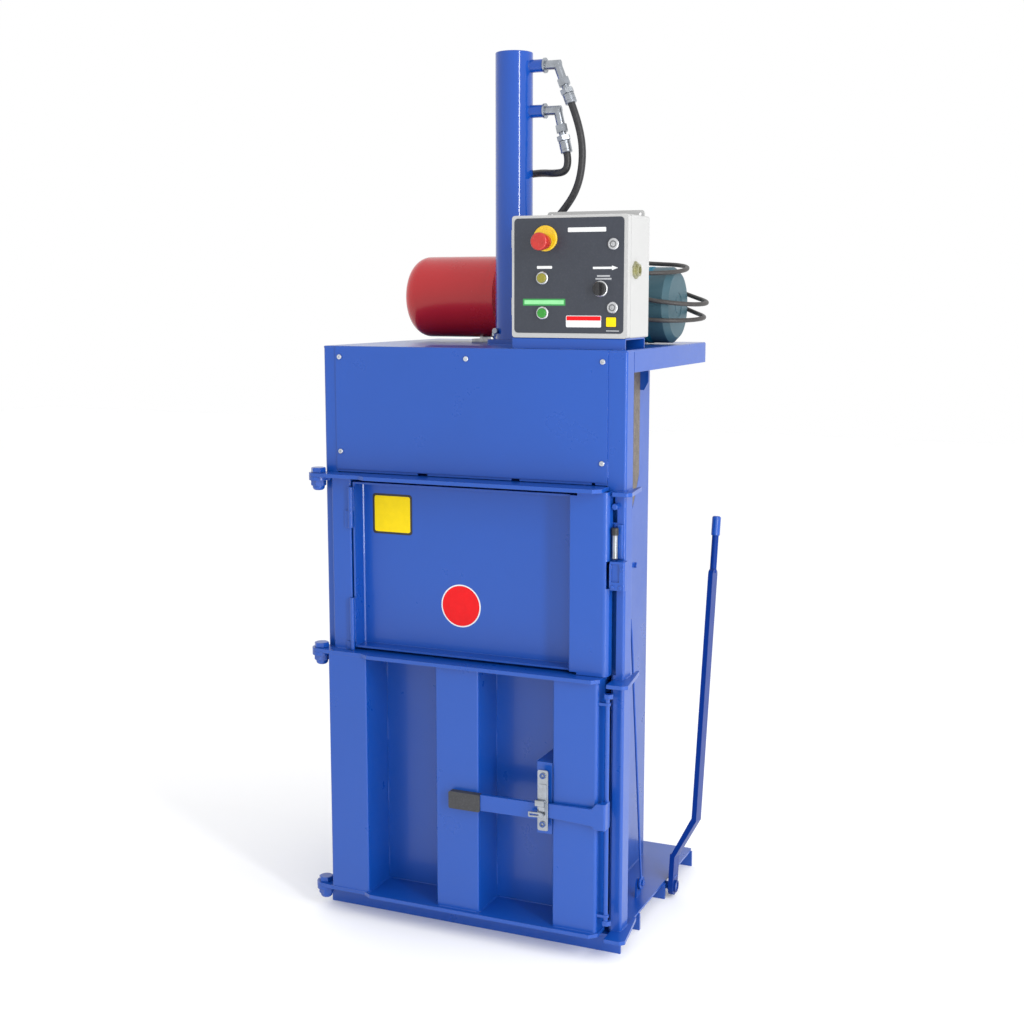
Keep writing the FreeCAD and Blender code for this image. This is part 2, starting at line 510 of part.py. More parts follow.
# --------------------------------------------------------------- main door
DY = 60.0
bands = []
for z in BAND_Z:
    b = ext([(HX, HY - 26), (-398, -60, 14), (-292, -60, 6), (-268, -75, 6), (376, -75), (394, -56), (394, -4), (383, -4), (383, DY), (-383, DY), (-383, -4), (HX, HY + 26)], "z", z, z + BAND_T)
    b = b.fuse(rod((HX, HY, z), (HX, HY, z + BAND_T), 26)).removeSplitter()
    b = b.cut(rod((HX, HY, z - 1), (HX, HY, z + BAND_T + 1), 12.35))
    bands.append(b)
put("door_bands", *bands)
ZA, ZB = BAND_Z[0] + BAND_T, BAND_Z[1]
lr = ext([(-394, -4), (-394, -60, 5), (-277, -60, 5), (-277, DY), (-282, DY), (-282, -55, 2), (-389, -55, 2), (-389, -9), (-378, -9), (-378, DY), (-383, DY), (-383, -4)], "z", ZA, ZB)
mr = ext([(-68, DY), (-68, -60, 5), (57, -60, 5), (57, DY), (52, DY), (52, -55, 2), (-63, -55, 2), (-63, DY)], "z", ZA, ZB)
rr_ = ext([(390, -4), (390, -60, 9), (268, -60, 5), (268, DY), (273, DY), (273, -55, 2), (385, -55, 4), (385, -9), (378, -9), (378, DY), (383, DY), (383, -4)], "z", ZA, ZB)
for z in (120, 684):
    b = box(388, 419, -52.5, -37.5, z, z + 7)
    b = fil(b, 5, lambda e: abs(e.BoundBox.ZLength - 7) < 0.1 and e.BoundBox.XMin > 418)
    b = b.cut(rod((LX, LY, z - 1), (LX, LY, z + 27), 6.35))
    rr_ = rr_.fuse(b)
rr_ = rr_.removeSplitter()
put("door_ribs", lr, mr, rr_)
put("door_panel", ext([(-380, 66, 3), (380, 66, 3), (380, 752, 3), (-380, 752, 3)], "y", DY, DY + 5))
Z0, Z1 = BAND_Z[1] + BAND_T, BAND_Z[2]
sl = ext([(-394, -4), (-394, -25, 4), (-336, -25, 4), (-336, DY), (-383, DY), (-383, -4)], "z", Z0, Z1)
sl = sl.cut(box(-378, -341, -20, DY - 5, Z0 - 1, Z1 + 1))
sr = ext([(306, 2, 3), (383, 2, 3), (383, DY), (306, DY)], "z", Z0, Z1).cut(box(311, 378, 7, DY - 5, Z0 - 1, Z1 + 1))
fh = []
for z0, z1, up in ((1090, 1136, 50), (753, 775, 100)):
    k = fuse(rod((FX, FY, z0), (FX, FY, z1), 6.5), rod((FX, FY, z1), (FX, FY, z1 + up), 3.5))
    leaf = box(-352, -333, -29, -25, z0, z1)
    fh.append(fuse(k, leaf).cut(box(-345, -336, -25, -20, z0 - 1, z1 + 1)))
put("door_stiles", sl, sr)
put("feed_hinge_lower", *fh)
tbk = box(222, 267, -56, DY, 325, 517).cut(box(226, 263, -52, DY + 1, 320, 513))
tbk = fil(tbk, 3, lambda e: abs(e.BoundBox.ZLength - 192) < 0.1 and e.BoundBox.YMax < -55)
put("toggle_bracket", tbk)

# --------------------------------------------------------------- feed door
FZ0, FZ1 = 759.0, 1214.0
pan = box(-330, 301, -23, 30, FZ0, FZ1).cut(box(-325, 296, -24, 25, FZ0 + 5, FZ1 - 5))
pan = fil(pan, 3, lambda e: abs(e.BoundBox.YLength - 53) < 0.1)
pan = pan.fuse(ext([(-325, 25), (-325, 22), (-322, 25)], "z", FZ0 + 5, FZ1 - 5)).removeSplitter()
for z0, z1 in ((1136.5, 1201), (775.5, 897)):
    k = rod((FX, FY, z0), (FX, FY, z1), 6.5)
    leaf = box(-333, -325, -27, -23, z0, z1)
    pan = pan.fuse(k.fuse(leaf).cut(rod((FX, FY, z0 - 1), (FX, FY, z1 + 1), 3.9)))
pan = pan.removeSplitter()
put("feed_pan", pan)
fb_ = ext([(301, -1), (301, -36, 3), (405, -36, 15), (405, -1), (400, -1), (400, -31, 10), (306, -31), (306, -1)], "z", 753, 1225)
fb_ = fb_.fuse(box(306, 400, -31, -1, 764, 768)).fuse(box(306, 400, -31, -1, 1205, 1209)).fuse(box(301, 312, -5, -1, 764, 1209)).removeSplitter()
for z0, z1 in ((752, FZ0), (FZ1, 1226)):
    fb_ = fb_.cut(box(300, 322, -40, 0, z0, z1))
fb_ = fb_.cut(box(399, 410, -40, -8, 981, 1050))
put("feed_stile", fb_)
kb = box(409, 448, -34, -4, 979, 1052)
kb = fil(kb, 5, lambda e: abs(e.BoundBox.ZLength - 73) < 0.1 and e.BoundBox.XMin > 440)
kb = kb.cut(box(413, 434, -35, -30, 1000, 1046)).cut(rod((416, -17, 1000), (416, -17, 1060), 7.9))
kb = kb.fuse(box(405, 410, -6, -4, 983, 1048))
for x, z in ((417, 988), (438, 988), (441, 1034)):
    kb = kb.fuse(hexa((x, -34, z), (x, -38, z), 8))
kb = kb.removeSplitter()
put("feed_keeper", kb)

# ------------------------------------------------ feed bolt (sliding rod)
fbm = rod((416, -17, 1056), (416, -17, 1132), 7.5)
fbm = cham(fbm, 1.5, circ(7.5, z=1056))
put("feed_bolt", fuse(fbm, box(413, 419, -14, -2.5, 1084, 1110)))
capb = rod((416, -17, 1117), (416, -17, 1136), 9.2)
capb = fil(capb, 2, circ(9.2, z=1136))
capb = capb.cut(rod((416, -17, 1110), (416, -17, 1132), 7.5))
capb = capb.cut(box(400, 430, -8.2, 0, 1110, 1150))
put("feed_bolt_knob", capb)

# ------------------------------------------------ main door latch assembly
lb = rod((LX, LY, 98), (LX, LY, 714), 6)
for z in (98, 702):
    c = ext([(LX - 8, LY - 8, 4), (LX + 7, LY - 8, 4), (LX + 14, LY + 2, 3), (LX + 12, LY + 8, 3), (LX - 8, LY + 8, 4)], "z", z, z + 12)
    lb = lb.fuse(c)
lb = lb.removeSplitter()
put("latch_bar", lb)
hub = ext([(LX + 6.6, -75, 6), (LX + 6.6, LY + 11, 5), (LX - 10, LY + 11, 8), (LX - 10, -65), (247, -65), (247, -75)], "z", 355, 435)
hub = hub.common(ext([(247, 377, 9), (380, 371, 10), (391, 362, 10), (LX + 20, 362), (LX + 20, 431), (393, 431, 8), (381, 415, 12), (247, 413, 9)], "y", -90, 0))
hub = hub.cut(rod((LX, LY, 340), (LX, LY, 440), 6))
arm = ext([(69, 367), (252, 368), (252, 411), (69, 410)], "y", -75, -65)
lev = fuse(hub, arm)
tng = ext([(-12, 370), (70, 374), (70, 402), (-12, 398)], "y", -75, -65)
lev = fuse(lev, tng)
put("latch_lever", lev)
grip = rbox(-22, 69, -79, -61, 363, 410, 5, "y").cut(ext([(-12, 370), (70, 374), (70, 402), (-12, 398)], "y", -75, -65))
put("lever_grip", grip)
tp = ext([(234.5, 341, 5), (263.5, 341, 5), (263.5, 503, 5), (234.5, 503, 5)], "y", -80, -77)
tp = tp.fuse(rbox(238, 260, -82, -79, 372, 466, 4, "y"))
for z in (488.5, 358.5):
    tp = tp.fuse(rod((249, -83, z), (249, -61, z), 8.5)).cut(hexa((249, -80.5, z), (249, -84, z), 7))
tp = tp.fuse(rbox(231, 256, -90, -81, 407, 424, 3, "x")).fuse(box(240, 258, -78, -75, 374, 407)).removeSplitter()
tp = tp.fuse(ext([(241, 386), (257, 396, 3), (256, 407), (240, 407)], "y", -86, -81)).removeSplitter()
put("toggle_plate", tp)
tf = rod((249, -93, 386), (249, -86.5, 386), 6.0)
tf = tf.fuse(ext([(213, 387.5, 1.8), (250, 388), (250, 393), (213, 392, 1.8)], "y", -92, -88)).fuse(ext([(214, 378, 1.8), (249, 380), (249, 384.5), (214, 382, 1.8)], "y", -92, -88)).fuse(box(213, 217, -92, -88, 380, 390)).removeSplitter()
put("toggle_finger", tf)

# ------------------------------------------------------------ eject system
sh = rod((-232, EJ_Y, EJ_Z), (459, EJ_Y, EJ_Z), 11)
for s in (-1, 1):
    a = ext([(EJ_Y - 16, 24, 8), (EJ_Y - 16, 40, 8), (EJ_Y + 16, 43, 8), (556, 43, 5), (556, 31, 5), (EJ_Y + 16, 18, 8)], "x", s * 130 - 9, s * 130 + 9)
    sh = sh.fuse(a)
sh = sh.removeSplitter()
put("eject_shaft", sh)
LEAN = 10.0


def lean(s):
    s.rotate(V(0, EJ_Y, EJ_Z), V(1, 0, 0), -LEAN)
    return s


LX0, UX0 = 441.0, 497.0
low = rbox(LX0, LX0 + 14, EJ_Y - 25, EJ_Y + 25, EJ_Z - 25, EJ_Z + 92, 24.5, "x").fuse(box(LX0, LX0 + 14, EJ_Y - 25, EJ_Y + 25, EJ_Z + 40, EJ_Z + 94))
jog = ext([(LX0, EJ_Z + 86), (LX0 + 14, EJ_Z + 86), (UX0 + 14, EJ_Z + 196), (UX0 + 14, EJ_Z + 210), (UX0, EJ_Z + 210), (UX0, EJ_Z + 204)], "y", EJ_Y - 25, EJ_Y + 25)
upr = rbox(UX0, UX0 + 14, EJ_Y - 25, EJ_Y + 25, EJ_Z + 180, EJ_Z + 915, 16, "x").cut(box(UX0 - 1, UX0 + 15, EJ_Y - 30, EJ_Y + 30, EJ_Z + 170, EJ_Z + 204))
neck = rod((UX0 + 7, EJ_Y, EJ_Z + 905), (UX0 + 7, EJ_Y, EJ_Z + 1012), 9.5)
boss = rod((LX0 - 3, EJ_Y, EJ_Z), (LX0 + 20, EJ_Y, EJ_Z), 17)
lever = lean(fuse(low, jog, upr, neck, boss))
lever = lever.cut(rod((430, EJ_Y, EJ_Z), (470, EJ_Y, EJ_Z), 11))
put("eject_lever", lever)
g = rod((UX0 + 7, EJ_Y, EJ_Z + 1012), (UX0 + 7, EJ_Y, EJ_Z + 1068), 12.5)
g = fil(g, 6, circ(12.5, z=EJ_Z + 1068))
g = fil(g, 2, circ(12.5, z=EJ_Z + 1012))
put("eject_grip", lean(g))

# ---------------------------------------------------------------- hook rod
HP, HQ = V(402, 272, 90), V(402, 158, 866)
hd_ = (HQ - HP)
hd_.normalize()
h1, h2 = HP + hd_ * 16.0, HP + hd_ * 740.0
ring = rod((398.6, 272, 90), (405.8, 272, 90), 19)
ring = cham(ring, 1.5, circ(19))
hr = fuse(rod((h1.x, h1.y, h1.z), (h2.x, h2.y, h2.z), 3.2), ring, cone((h2.x, h2.y, h2.z), (HQ.x, HQ.y, HQ.z), 3.2, 1.6))
hr = hr.cut(rod((390, 272, 90), (412, 272, 90), 5.35))
put("hook_rod", hr)

# ------------------------------------------------------------------ output
os.makedirs("parts", exist_ok=True)
CORDS = ("hose_upper", "hose_lower", "motor_cable")
lo_, hi_ = V(1e9, 1e9, 1e9), V(-1e9, -1e9, -1e9)
for name in sorted(nodes):
    sol = nodes[name]
    for s in sol:
        if not s.isValid() or s.Volume <= 0:
            print("BAD", name, s.isValid(), s.Volume)
    if name not in CORDS:
        for s in sol:
            b = s.optimalBoundingBox()
            lo_ = V(min(lo_.x, b.XMin), min(lo_.y, b.YMin), min(lo_.z, b.ZMin))
            hi_ = V(max(hi_.x, b.XMax), max(hi_.y, b.YMax), max(hi_.z, b.ZMax))
    moved = [s.translated(V(-OX, -OY, 0)) for s in sol]
    shape = moved[0] if len(moved) == 1 else Part.makeCompound(moved)
    shape.exportStep("parts/%s.step" % name)
    print("%-18s solids %d volume %.0f" % (name, len(sol), sum(s.Volume for s in sol)))
print("nodes", len(nodes))
print("bounds", lo_, hi_, "centre x %.3f y %.3f" % ((lo_.x + hi_.x) / 2, (lo_.y + hi_.y) / 2))
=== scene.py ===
import json
import math
import random

import bpy
import bmesh
from mathutils import Matrix, Vector


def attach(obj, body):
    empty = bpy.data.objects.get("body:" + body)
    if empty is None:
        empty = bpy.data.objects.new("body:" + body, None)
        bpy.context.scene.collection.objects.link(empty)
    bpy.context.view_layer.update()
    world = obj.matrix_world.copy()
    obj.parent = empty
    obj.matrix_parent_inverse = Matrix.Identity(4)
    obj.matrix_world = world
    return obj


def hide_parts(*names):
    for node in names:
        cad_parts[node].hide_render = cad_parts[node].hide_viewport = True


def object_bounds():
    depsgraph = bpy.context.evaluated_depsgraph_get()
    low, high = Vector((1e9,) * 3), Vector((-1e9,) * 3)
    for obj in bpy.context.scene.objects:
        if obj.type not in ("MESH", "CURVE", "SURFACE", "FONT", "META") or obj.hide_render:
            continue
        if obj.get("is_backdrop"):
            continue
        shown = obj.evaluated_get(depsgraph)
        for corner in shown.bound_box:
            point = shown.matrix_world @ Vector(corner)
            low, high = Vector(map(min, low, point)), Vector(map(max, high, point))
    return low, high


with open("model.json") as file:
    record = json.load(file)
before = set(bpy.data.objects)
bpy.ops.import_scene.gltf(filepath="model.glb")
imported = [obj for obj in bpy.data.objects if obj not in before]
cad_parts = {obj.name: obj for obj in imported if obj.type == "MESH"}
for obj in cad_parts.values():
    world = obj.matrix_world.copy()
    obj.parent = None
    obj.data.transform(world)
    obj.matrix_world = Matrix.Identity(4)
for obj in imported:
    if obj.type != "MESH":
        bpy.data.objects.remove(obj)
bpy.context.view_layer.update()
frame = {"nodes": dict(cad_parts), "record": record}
NODES = frame["nodes"]
OX, OY = 29.75, 301.5           # the offsets part.py moves everything by, mm
scene = bpy.context.scene


def M(x, y, z):
    return Vector(((x - OX) / 1000.0, (y - OY) / 1000.0, z / 1000.0))


# ------------------------------------------------------------------ camera
AZ, TILT = 0.411, 0.1482
cam_data = bpy.data.cameras.new("camera")
cam_data.sensor_width = 36.0
cam_data.lens = 51.32
cam_data.clip_start, cam_data.clip_end = 0.1, 60.0
cam = bpy.data.objects.new("camera", cam_data)
scene.collection.objects.link(cam)
cam.location = M(1619.25, -3422.0, 1713.26)
fwd = Vector((-math.sin(AZ) * math.cos(TILT), math.cos(AZ) * math.cos(TILT), -math.sin(TILT)))
cam.rotation_mode = "QUATERNION"
cam.rotation_quaternion = fwd.to_track_quat("-Z", "Y")
scene.camera = cam


# ------------------------------------------------------------ node helpers
class Nodes:
    def __init__(self, name):
        self.m = bpy.data.materials.new(name)
        self.m.use_nodes = True
        self.t = self.m.node_tree
        self.b = self.t.nodes["Principled BSDF"]
        self.co = self.add("ShaderNodeTexCoord").outputs["Object"]

    def add(self, kind, **kw):
        n = self.t.nodes.new(kind)
        for k, v in kw.items():
            if k in ("inputs",):
                for i, x in v.items():
                    self.put(n.inputs[i], x)
            else:
                setattr(n, k, v)
        return n

    def put(self, sock, x):
        if isinstance(x, bpy.types.NodeSocket):
            self.t.links.new(x, sock)
        elif isinstance(x, (tuple, list)) and len(x) == 3 and sock.type == "RGBA":
            sock.default_value = (*x, 1.0)
        else:
            sock.default_value = x

    def noise(self, scale, detail=2.0, rough=0.5, stretch=None, dist=0.0):
        v = self.co
        if stretch:
            v = self.add("ShaderNodeMapping", inputs={"Vector": self.co, "Scale": stretch}).outputs["Vector"]
        return self.add("ShaderNodeTexNoise", inputs={"Vector": v, "Scale": scale, "Detail": detail, "Roughness": rough, "Distortion": dist}).outputs["Fac"]

    def voronoi(self, scale, feature="F1"):
        return self.add("ShaderNodeTexVoronoi", feature=feature, inputs={"Vector": self.co, "Scale": scale}).outputs

    def ramp(self, fac, stops):
        r = self.add("ShaderNodeValToRGB", inputs={"Fac": fac})
        e = r.color_ramp.elements
        while len(e) < len(stops):
            e.new(0.5)
        for i, (p, c) in enumerate(stops):
            e[i].position = p
            e[i].color = (*c, 1.0) if isinstance(c, (tuple, list)) else (c, c, c, 1.0)
        return r.outputs["Color"]

    def span(self, fac, lo, hi, a=0.0, b=1.0):
        return self.add("ShaderNodeMapRange", inputs={"Value": fac, "From Min": a, "From Max": b, "To Min": lo, "To Max": hi}).outputs["Result"]

    def mix(self, fac, a, b, mode="MIX"):
        n = self.add("ShaderNodeMix", data_type="RGBA", blend_type=mode)
        self.put(n.inputs[0], fac)
        self.put(n.inputs[6], a)
        self.put(n.inputs[7], b)
        return n.outputs[2]

    def math(self, op, a, b=0.0, clamp=False):
        n = self.add("ShaderNodeMath", operation=op, use_clamp=clamp)
        self.put(n.inputs[0], a)
        self.put(n.inputs[1], b)
        return n.outputs[0]

    def bump(self, height, strength, distance, normal=None):
        n = self.add("ShaderNodeBump", inputs={"Strength": strength, "Distance": distance, "Height": height})
        if normal is not None:
            self.put(n.inputs["Normal"], normal)
        return n.outputs["Normal"]

    def bevel(self, radius, samples=4):
        return self.add("ShaderNodeBevel", samples=samples, inputs={"Radius": radius}).outputs["Normal"]

    def edges(self, bevel_normal, power=6.0):
        g = self.add("ShaderNodeNewGeometry").outputs["Normal"]
        d = self.add("ShaderNodeVectorMath", operation="DOT_PRODUCT")
        self.put(d.inputs[0], bevel_normal)
        self.put(d.inputs[1], g)
        return self.math("MULTIPLY", self.math("SUBTRACT", 1.0, d.outputs["Value"]), power, clamp=True)

    def set(self, **kw):
        for k, v in kw.items():
            self.put(self.b.inputs[k.replace("_", " ")], v)
        return self.m


def scaled(c, k):
    return tuple(min(1.0, v * k) for v in c)


def paint(name, rgb, rough=(0.24, 0.36), coat=0.2, coat_rough=0.03, peel=(520.0, 0.045), wave=0.05, tone=0.035, edge=0.35, bevel=0.0012, spec=0.5, edge_wear_and_highlight_rgb=None):
    n = Nodes(name)
    big = n.noise(1.9, 3.0, 0.55)
    mid = n.noise(24.0, 4.0, 0.6)
    c = n.mix(n.span(big, 0.0, 1.0, 0.3, 0.7), scaled(rgb, 1 - tone), scaled(rgb, 1 + tone))
    c = n.mix(n.span(mid, 0.0, 0.05, 0.45, 0.75), c, scaled(rgb, 0.8))
    bv = n.bevel(bevel)
    # edges are lightened under a noisy break-up mask: partly edge wear, partly a painted highlight along every edge
    e = n.edges(bv, 5.0)
    brk = n.span(n.noise(90.0, 3.0, 0.6), 0.2, 1.0, 0.35, 0.62)
    light = tuple(v + (1 - v) * 0.22 for v in rgb) if edge_wear_and_highlight_rgb is None else edge_wear_and_highlight_rgb
    c = n.mix(n.math("MULTIPLY", n.math("MULTIPLY", e, brk), edge, clamp=True), c, light)
    r = n.span(n.noise(7.0, 5.0, 0.65), rough[0], rough[1], 0.3, 0.7)
    fine = n.noise(peel[0], 2.0, 0.5)
    nb = n.bump(n.noise(13.0, 2.0, 0.4), wave, 0.0006, bv)
    nb = n.bump(fine, peel[1], 0.0003, nb)
    n.set(Base_Color=c, Roughness=r, Normal=nb)
    n.b.inputs["Coat Weight"].default_value = coat
    n.b.inputs["Coat Roughness"].default_value = coat_rough
    n.b.inputs["Specular IOR Level"].default_value = spec
    n.put(n.b.inputs["Coat Normal"], bv)
    return n.m


def metal(name, rgb, rough=(0.22, 0.38), grain=None, spangle=0.0, bevel=0.0006, tint=None, dirt=0.25):
    n = Nodes(name)
    big = n.noise(38.0, 4.0, 0.6)
    c = n.mix(n.span(big, 0.0, 1.0, 0.35, 0.68), rgb, tint or scaled(rgb, 0.8))
    if spangle:
        c = n.mix(n.span(n.voronoi(160.0)["Distance"], 0.0, spangle), c, scaled(rgb, 1.15))
    cav = n.span(n.noise(140.0, 4.0, 0.7), 0.0, dirt, 0.5, 0.8)
    c = n.mix(cav, c, scaled(rgb, 0.35))
    r = n.span(n.noise(95.0, 4.0, 0.65), rough[0], rough[1], 0.3, 0.7)
    bv = n.bevel(bevel)
    h = n.noise(grain[0], 3.0, 0.6, stretch=grain[1]) if grain else n.noise(900.0, 2.0)
    nb = n.bump(h, grain[2] if grain else 0.12, 0.0002, bv)
    n.set(Base_Color=c, Roughness=r, Normal=nb, Metallic=1.0)
    return n.m


def plastic(name, rgb, rough=(0.25, 0.4), texture=(1400.0, 0.12), tone=0.08, bevel=0.0006, coat=0.0, spec=0.5, sub=0.0, dust=0.06):
    n = Nodes(name)
    c = n.mix(n.span(n.noise(60.0, 3.0), 0.0, 1.0, 0.3, 0.7), scaled(rgb, 1 - tone), scaled(rgb, 1 + tone))
    c = n.mix(n.span(n.noise(210.0, 5.0, 0.7), 0.0, dust, 0.5, 0.75), c, (0.45, 0.44, 0.42))
    r = n.span(n.noise(120.0, 4.0, 0.6), rough[0], rough[1], 0.3, 0.7)
    nb = n.bump(n.noise(texture[0], 2.0), texture[1], 0.0002, n.bevel(bevel))
    n.set(Base_Color=c, Roughness=r, Normal=nb)
    n.b.inputs["Coat Weight"].default_value = coat
    n.b.inputs["Coat Roughness"].default_value = 0.05
    n.b.inputs["Specular IOR Level"].default_value = spec
    if sub:
        n.b.inputs["Subsurface Weight"].default_value = sub
        n.b.inputs["Subsurface Radius"].default_value = (0.004, 0.004, 0.004)
    return n.m


BLUE = (0.004, 0.062, 0.345)
MATS = {
    "blue_paint": paint("blue_paint", BLUE, rough=(0.26, 0.36), coat=0.2, coat_rough=0.03),
    "cylinder_paint": paint("cylinder_paint", (0.003, 0.056, 0.330), rough=(0.30, 0.40), coat=1.0, coat_rough=0.02, spec=0.08, peel=(520.0, 0.03), wave=0.03),
    "screw_zinc": metal("screw_zinc", (0.66, 0.69, 0.75), rough=(0.24, 0.36), dirt=0.12),
    "gland_metal": metal("gland_metal", (0.46, 0.46, 0.34), rough=(0.24, 0.36), spangle=0.05, tint=(0.40, 0.38, 0.14), dirt=0.15),
    # the machine blue darkened for the eject lever: painted shade on the lever's faces
    "lever_blue_painted_shade": paint("lever_blue_painted_shade", (0.002, 0.028, 0.200), rough=(0.30, 0.40), coat=0.0, spec=0.12),
    "white_paint": paint("white_paint", (0.408, 0.41, 0.408), rough=(0.38, 0.48), coat=0.05, coat_rough=0.3, peel=(900.0, 0.22), wave=0.06, tone=0.015, edge=0.15),
    "overlay_film": plastic("overlay_film", (0.028, 0.033, 0.046), rough=(0.34, 0.42), texture=(1700.0, 0.10), tone=0.05, bevel=0.0003, dust=0.03),
    "red_paint": paint("red_paint", (0.47, 0.009, 0.014), rough=(0.20, 0.28), coat=0.12, coat_rough=0.03, peel=(300.0, 0.05), wave=0.06, tone=0.05, edge=0.2),
    "teal_paint": paint("teal_paint", (0.004, 0.140, 0.222), rough=(0.36, 0.48), coat=0.0, coat_rough=0.15, spec=0.08, peel=(450.0, 0.16), wave=0.12, tone=0.07, edge=0.3),
    "teal_cap": paint("teal_cap", (0.038, 0.090, 0.115), rough=(0.40, 0.52), coat=0.0, coat_rough=0.25, spec=0.35, peel=(380.0, 0.30), wave=0.15, tone=0.07, edge=0.3),
    "zinc_steel": metal("zinc_steel", (0.40, 0.43, 0.475), rough=(0.24, 0.38), spangle=0.06, tint=(0.31, 0.33, 0.355), dirt=0.22),
    "rod_chrome": metal("rod_chrome", (0.55, 0.56, 0.60), rough=(0.08, 0.14), dirt=0.08, grain=(300.0, (1.0, 1.0, 0.03), 0.05)),
    "plain_steel": metal("plain_steel", (0.26, 0.255, 0.25), rough=(0.32, 0.5), grain=(220.0, (1.0, 0.08, 1.0), 0.2), tint=(0.22, 0.195, 0.17), dirt=0.4),
    "block_metal": metal("block_metal", (0.48, 0.49, 0.50), rough=(0.26, 0.4), grain=(260.0, (0.06, 1.0, 1.0), 0.18)),
    "hose_rubber": plastic("hose_rubber", (0.016, 0.016, 0.018), rough=(0.36, 0.5), texture=(700.0, 0.35), tone=0.2, dust=0.06),
    "cable_jacket": plastic("cable_jacket", (0.034, 0.031, 0.030), rough=(0.42, 0.55), texture=(900.0, 0.3), tone=0.15, dust=0.08),
    "grip_rubber": plastic("grip_rubber", (0.034, 0.035, 0.039), rough=(0.5, 0.65), texture=(420.0, 0.45), tone=0.15, dust=0.08),
    "wear_plastic": plastic("wear_plastic", (0.11, 0.092, 0.078), rough=(0.45, 0.6), texture=(160.0, 0.4), tone=0.25, dust=0.3),
    "yellow_plastic": plastic("yellow_plastic", (0.68, 0.43, 0.010), rough=(0.24, 0.34), coat=0.2),
    "red_plastic": plastic("red_plastic", (0.42, 0.016, 0.010), rough=(0.26, 0.36), coat=0.3, sub=0.05),
    "olive_plastic": plastic("olive_plastic", (0.22, 0.20, 0.010), rough=(0.16, 0.24), coat=0.5, sub=0.1),
    "green_plastic": plastic("green_plastic", (0.010, 0.23, 0.012), rough=(0.16, 0.24), coat=0.5, sub=0.1),
    "black_plastic": plastic("black_plastic", (0.012, 0.012, 0.014), rough=(0.26, 0.38), coat=0.1),
    "bezel_chrome": metal("bezel_chrome", (0.70, 0.71, 0.73), rough=(0.20, 0.30), dirt=0.12),
}
PRINT = {
    "white": plastic("print_white", (0.64, 0.65, 0.66), rough=(0.4, 0.5), texture=(1500.0, 0.05), tone=0.03, bevel=0.0001, dust=0.03),
    "green": plastic("print_green", (0.24, 0.62, 0.28), rough=(0.4, 0.5), texture=(1500.0, 0.05), tone=0.03, bevel=0.0001, dust=0.03),
    "dark_green": plastic("print_dark_green", (0.03, 0.26, 0.06), rough=(0.4, 0.5), texture=(1500.0, 0.05), tone=0.05, bevel=0.0001, dust=0.03),
    "red": plastic("print_red", (0.66, 0.003, 0.006), spec=0.25, rough=(0.36, 0.44), texture=(1500.0, 0.05), tone=0.04, bevel=0.0001, dust=0.02),
    "yellow": plastic("print_yellow", (0.76, 0.56, 0.002), spec=0.2, rough=(0.36, 0.44), texture=(1500.0, 0.05), tone=0.03, bevel=0.0001, dust=0.02),
    "black": plastic("print_black", (0.015, 0.014, 0.013), rough=(0.36, 0.44), texture=(1500.0, 0.05), tone=0.1, bevel=0.0001, dust=0.02),
    "steel_dark": plastic("print_steel_dark", (0.12, 0.125, 0.13), rough=(0.3, 0.4), texture=(1500.0, 0.05), tone=0.1, bevel=0.0001, dust=0.02),
    "screw_blue": plastic("print_screw_blue", (0.03, 0.07, 0.22), rough=(0.3, 0.42), texture=(1500.0, 0.05), tone=0.1, bevel=0.0001, dust=0.03),
    "grey": plastic("print_grey", (0.36, 0.37, 0.39), rough=(0.4, 0.5), texture=(1500.0, 0.05), tone=0.03, bevel=0.0001, dust=0.03),
}

# --------------------------------------------------------- CAD materials
SLOT = {s["node"]: s["material_slot"] for s in frame["record"]["subparts"]}
for name, o in NODES.items():
    m = MATS[{"eject_lever": "lever_blue_painted_shade", "cylinder_barrel": "cylinder_paint", "cover_screws": "screw_zinc", "box_gland": "gland_metal"}.get(name, SLOT[name])]
    o.data.materials.clear()
    o.data.materials.append(m)
    for p in o.data.polygons:
        p.material_index = 0


# ----------------------------------------------------------- mesh helpers
def link(name, mesh, mat, body):
    o = bpy.data.objects.new(name, mesh)
    mesh.materials.append(mat)
    scene.collection.objects.link(o)
    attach(o, body)
    return o


def mesh_of(bm, name, smooth=False):
    me = bpy.data.meshes.new(name)
    bm.normal_update()
    bm.to_mesh(me)
    bm.free()
    if smooth:
        for p in me.polygons:
            p.use_smooth = True
    return me


# --------------------------------------------------------------- the cords
def cord_curve(name, pts, r, node, mat, body="frame"):
    cu = bpy.data.curves.new(name, "CURVE")
    cu.dimensions = "3D"
    cu.bevel_depth = r / 1000.0
    cu.bevel_resolution = 7
    cu.resolution_u = 14
    cu.use_fill_caps = True
    sp = cu.splines.new("NURBS")
    sp.points.add(len(pts) - 1)
    for i, p in enumerate(pts):
        v = M(*p)
        sp.points[i].co = (v.x, v.y, v.z, 1.0)
    sp.order_u = 3
    sp.use_endpoint_u = True
    o = bpy.data.objects.new(name, cu)
    cu.materials.append(mat)
    scene.collection.objects.link(o)
    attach(o, body)
    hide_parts(node)
    return o


